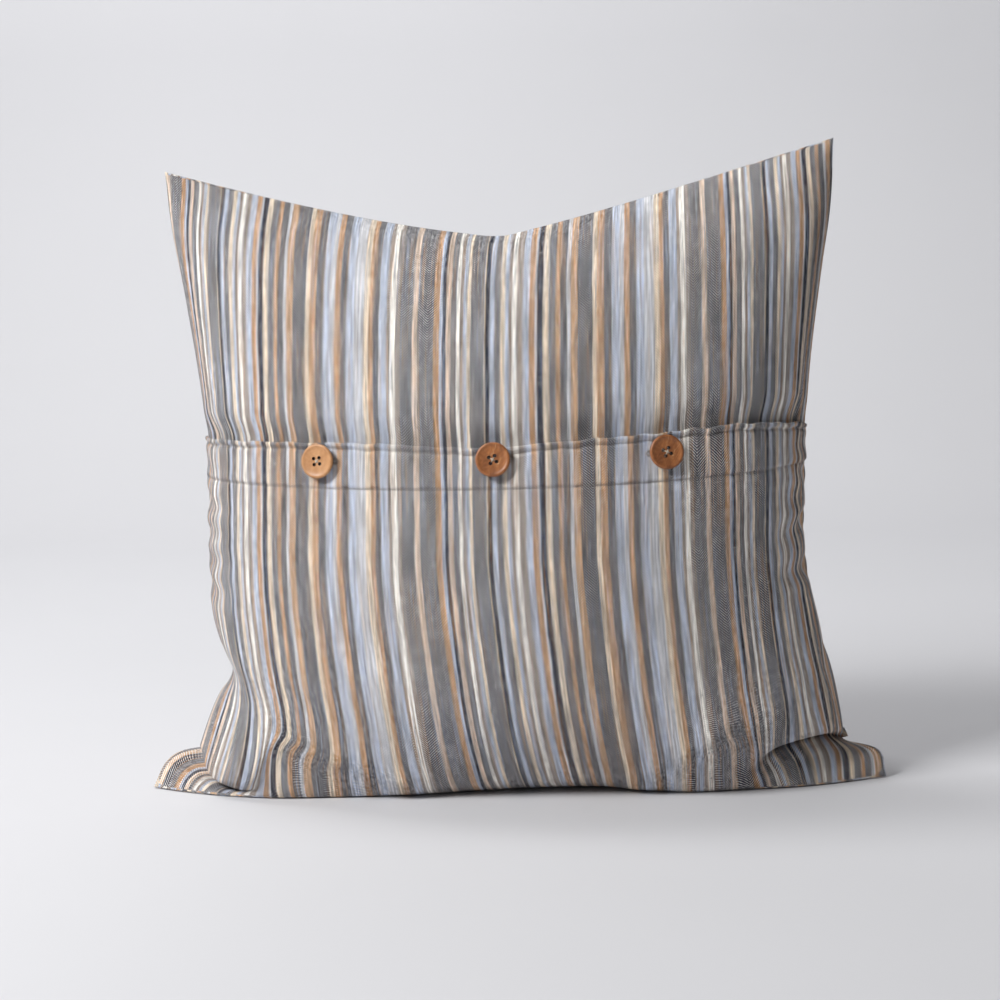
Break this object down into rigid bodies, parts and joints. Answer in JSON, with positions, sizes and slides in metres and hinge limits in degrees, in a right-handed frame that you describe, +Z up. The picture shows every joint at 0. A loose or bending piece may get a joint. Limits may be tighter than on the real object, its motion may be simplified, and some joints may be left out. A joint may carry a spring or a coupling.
{
  "type": "throw pillow",
  "caption": "Square striped throw pillow: cover with a buttoned front placket over a fibre-filled ticking insert, standing on its bottom edge.",
  "frame": {"origin": "on the floor under the middle of the pillow, which stands on its bottom edge", "axes": "+X along the width, -Y out of the buttoned front, +Z up"},
  "size_m": [0.5058, 0.2112, 0.437],
  "materials": {
    "cover_cloth": "yarn-dyed striped herringbone cotton, matte",
    "insert_ticking": "plain white cotton, matte",
    "fibre_fill": "lofted polyester fibre",
    "tonal_thread": "sewing thread",
    "cream_thread": "waxed sewing thread",
    "coconut_shell": "polished coconut shell, satin"
  },
  "bodies": {
    "root": {"cover_back_panel": "cover_cloth", "cover_lower_front_panel": "cover_cloth", "cover_upper_front_panel": "cover_cloth", "buttonhole_band": "cover_cloth", "button_stand": "cover_cloth", "insert_front_shell": "insert_ticking", "insert_back_shell": "insert_ticking", "fibre_fill": "fibre_fill", "left_seam_allowance": "cover_cloth", "right_seam_allowance": "cover_cloth", "top_seam_allowance": "cover_cloth", "bottom_seam_allowance": "cover_cloth", "band_edge_topstitch": "tonal_thread", "band_lower_topstitch": "tonal_thread", "left_buttonhole_stitching": "tonal_thread", "middle_buttonhole_stitching": "tonal_thread", "right_buttonhole_stitching": "tonal_thread"},
    "left_shank": {"left_button_shank": "cream_thread"},
    "left_disc": {"left_button": "coconut_shell", "left_button_cross_thread": "cream_thread"},
    "middle_shank": {"middle_button_shank": "cream_thread"},
    "middle_disc": {"middle_button": "coconut_shell", "middle_button_cross_thread": "cream_thread"},
    "right_shank": {"right_button_shank": "cream_thread"},
    "right_disc": {"right_button": "coconut_shell", "right_button_cross_thread": "cream_thread"}
  },
  "joints": [
    {"name": "left_button_tip", "type": "hinge", "parent": "root", "child": "left_shank", "pos_m": [-0.11957, -0.07701, 0.23271], "axis": [0.9553, -0.2957, 0.0005], "range_deg": [-5, 5]},
    {"name": "left_button_turn", "type": "hinge", "parent": "left_shank", "child": "left_disc", "pos_m": [-0.1206, -0.08033, 0.23316], "axis": [-0.2933, -0.9473, 0.1291], "range_deg": [-30, 30]},
    {"name": "middle_button_tip", "type": "hinge", "parent": "root", "child": "middle_shank", "pos_m": [-0.00229, -0.09471, 0.23314], "axis": [1, 0, 0], "range_deg": [-5, 5]},
    {"name": "middle_button_turn", "type": "hinge", "parent": "middle_shank", "child": "middle_disc", "pos_m": [-0.00229, -0.09816, 0.23374], "axis": [0, -0.9852, 0.1715], "range_deg": [-30, 30]},
    {"name": "right_button_tip", "type": "hinge", "parent": "root", "child": "right_shank", "pos_m": [0.10969, -0.08002, 0.23439], "axis": [0.9552, 0.2959, -0.0005], "range_deg": [-5, 5]},
    {"name": "right_button_turn", "type": "hinge", "parent": "right_shank", "child": "right_disc", "pos_m": [0.11071, -0.08333, 0.23492], "axis": [0.2926, -0.9443, 0.1509], "range_deg": [-30, 30]}
  ]
}
